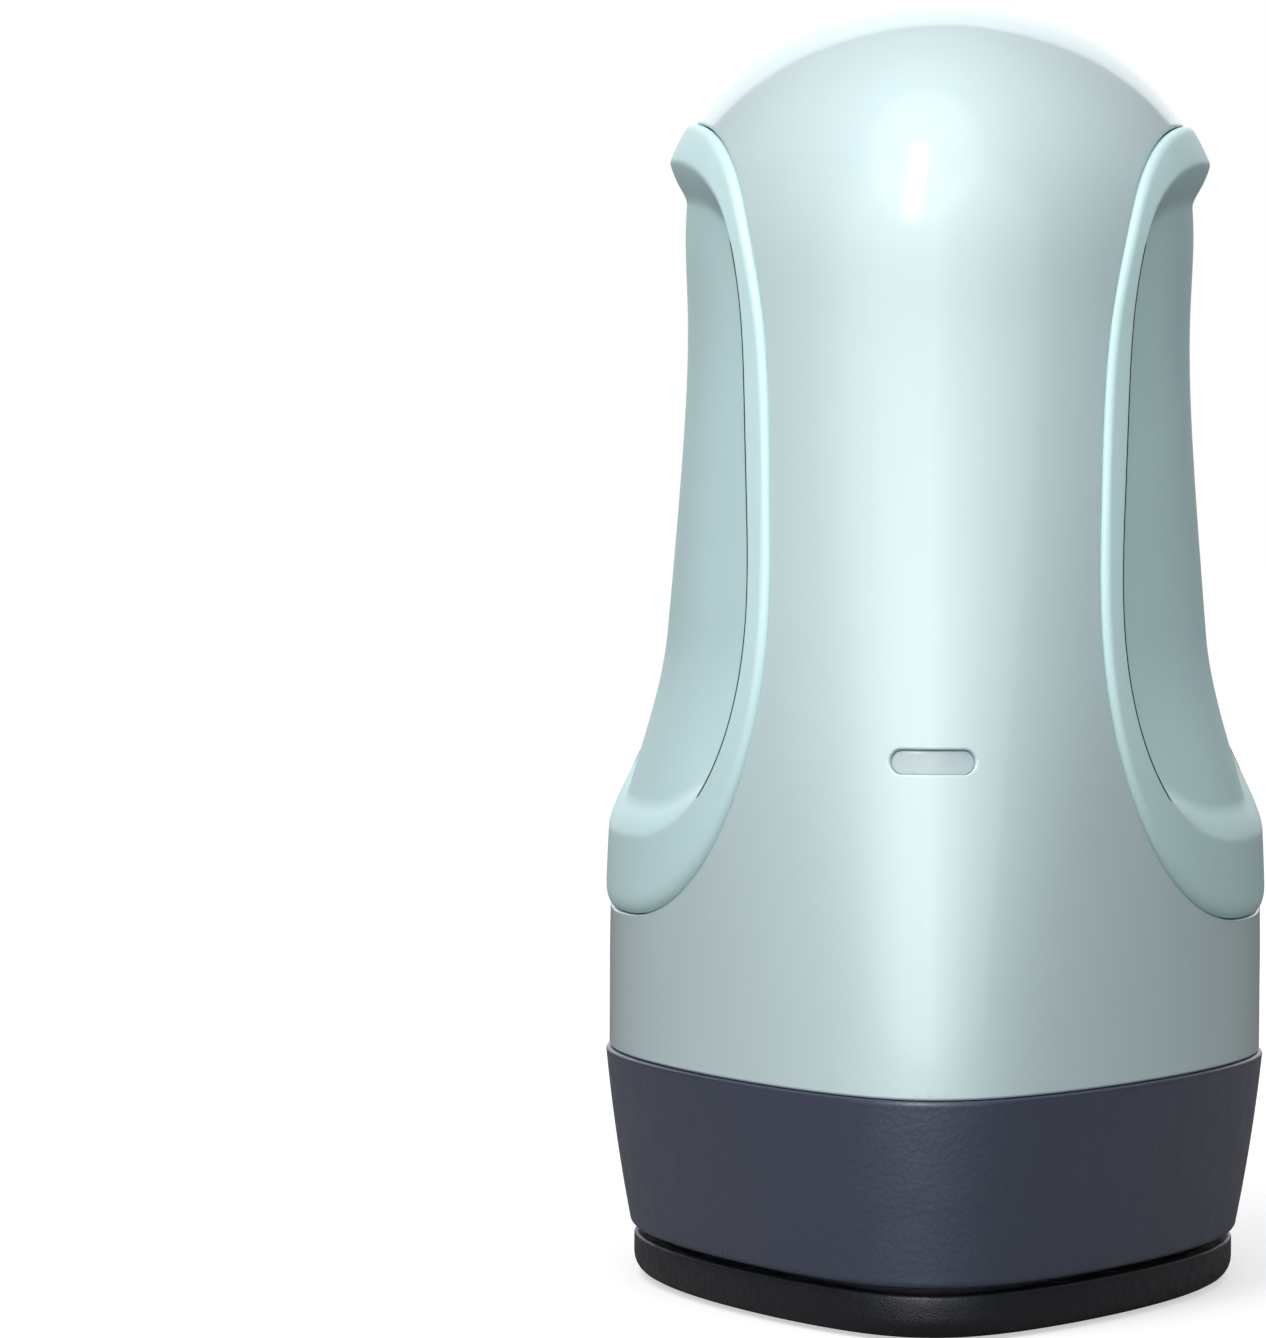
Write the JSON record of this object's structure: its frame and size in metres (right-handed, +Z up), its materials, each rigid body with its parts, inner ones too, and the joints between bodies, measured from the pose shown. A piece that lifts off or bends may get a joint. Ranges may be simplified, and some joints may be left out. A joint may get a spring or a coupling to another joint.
{
  "type": "mini handheld heat press",
  "caption": "Small handheld heat press: drop-shaped heated plate in a dark collar under a tall scooped-grip housing, standing on its insulated safety base.",
  "frame": {"origin": "on the surface that the stand rests on, below the middle of the press's outline", "axes": "+Z up, out of the stand; -Y towards the pointed nose at the front; +X towards the right-hand grip as seen in the picture"},
  "size_m": [0.065, 0.1, 0.125],
  "materials": {
    "stand_plastic": "fine grain, near black",
    "silicone_liner": "matt silicone",
    "foot_rubber": "matt",
    "plate_metal": "grey ceramic-coated face",
    "element_steel": "drawn tube",
    "ceramic_white": "unglazed",
    "tab_brass": "tinned brass",
    "probe_glass": "glass bead",
    "fuse_can": "satin can",
    "clip_steel": "spring steel",
    "bushing_ceramic": "unglazed",
    "screw_steel": "zinc plated",
    "collar_plastic": "fine leather grain, dark slate",
    "insulation_fibre": "needled ceramic fibre",
    "shield_steel": "rolled sheet",
    "deck_plastic": "moulded, dark",
    "seal_rubber": "matt",
    "mint_gloss": "smooth, soft gloss",
    "mint_satin": "satin",
    "lens_clear": "frosted clear",
    "led_body": "milky resin",
    "board_green": "solder-masked laminate",
    "button_plastic": "dark slate",
    "gland_rubber": "matt",
    "clamp_plastic": "glass-filled nylon",
    "switch_body": "moulded",
    "relay_case": "moulded",
    "capacitor_sleeve": "shrink sleeve",
    "film_case": "moulded box",
    "chip_body": "moulded",
    "terminal_plastic": "moulded",
    "fuse_glass": "tube",
    "connector_plastic": "moulded",
    "lead_fibreglass": "braided sleeve",
    "lead_white": "wire insulation",
    "lead_red": "wire insulation"
  },
  "bodies": {
    "safety_base": {"base_tray": "stand_plastic", "base_liner": "silicone_liner", "base_feet": "foot_rubber"},
    "press": {"board_frame": "deck_plastic", "board_fuse": "fuse_glass", "board_screws": "screw_steel", "clamp_screws": "screw_steel", "collar": "collar_plastic", "collar_seal": "seal_rubber", "control_board": "board_green", "controller_chip": "chip_body", "cord_clamp": "clamp_plastic", "cord_gland": "gland_rubber", "deck_plate": "deck_plastic", "element_ceramics": "ceramic_white", "element_tabs": "tab_brass", "film_capacitor": "film_case", "frame_screws": "screw_steel", "front_shell": "mint_gloss", "fuse_clips": "clip_steel", "heat_plate": "plate_metal", "heat_shield": "shield_steel", "heater_leads": "lead_fibreglass", "heating_element": "element_steel", "indicator_board": "board_green", "indicator_leads": "lead_red", "indicator_led": "led_body", "indicator_lens": "lens_clear", "indicator_screws": "screw_steel", "insulation_pad": "insulation_fibre", "lead_connector": "connector_plastic", "left_grip": "mint_satin", "plate_bushings": "bushing_ceramic", "plate_screws": "screw_steel", "power_switch": "switch_body", "probe_clips": "clip_steel", "rear_shell": "mint_gloss", "relay": "relay_case", "right_grip": "mint_satin", "sensor_leads": "lead_white", "shell_screws": "screw_steel", "supply_capacitor": "capacitor_sleeve", "temperature_sensor": "probe_glass", "terminal_block": "terminal_plastic", "thermal_fuse": "fuse_can", "top_screw": "screw_steel"},
    "button": {"power_button": "button_plastic"}
  },
  "joints": [
    {"name": "lift_off", "type": "slide", "parent": "safety_base", "child": "press", "axis": [0, 0, 1], "range_m": [0, 0.06]},
    {"name": "button_press", "type": "slide", "parent": "press", "child": "button", "axis": [0, -1, 0], "range_m": [0, 0.0008], "stiffness_N_per_m": 400, "springref_m": -0.001}
  ]
}
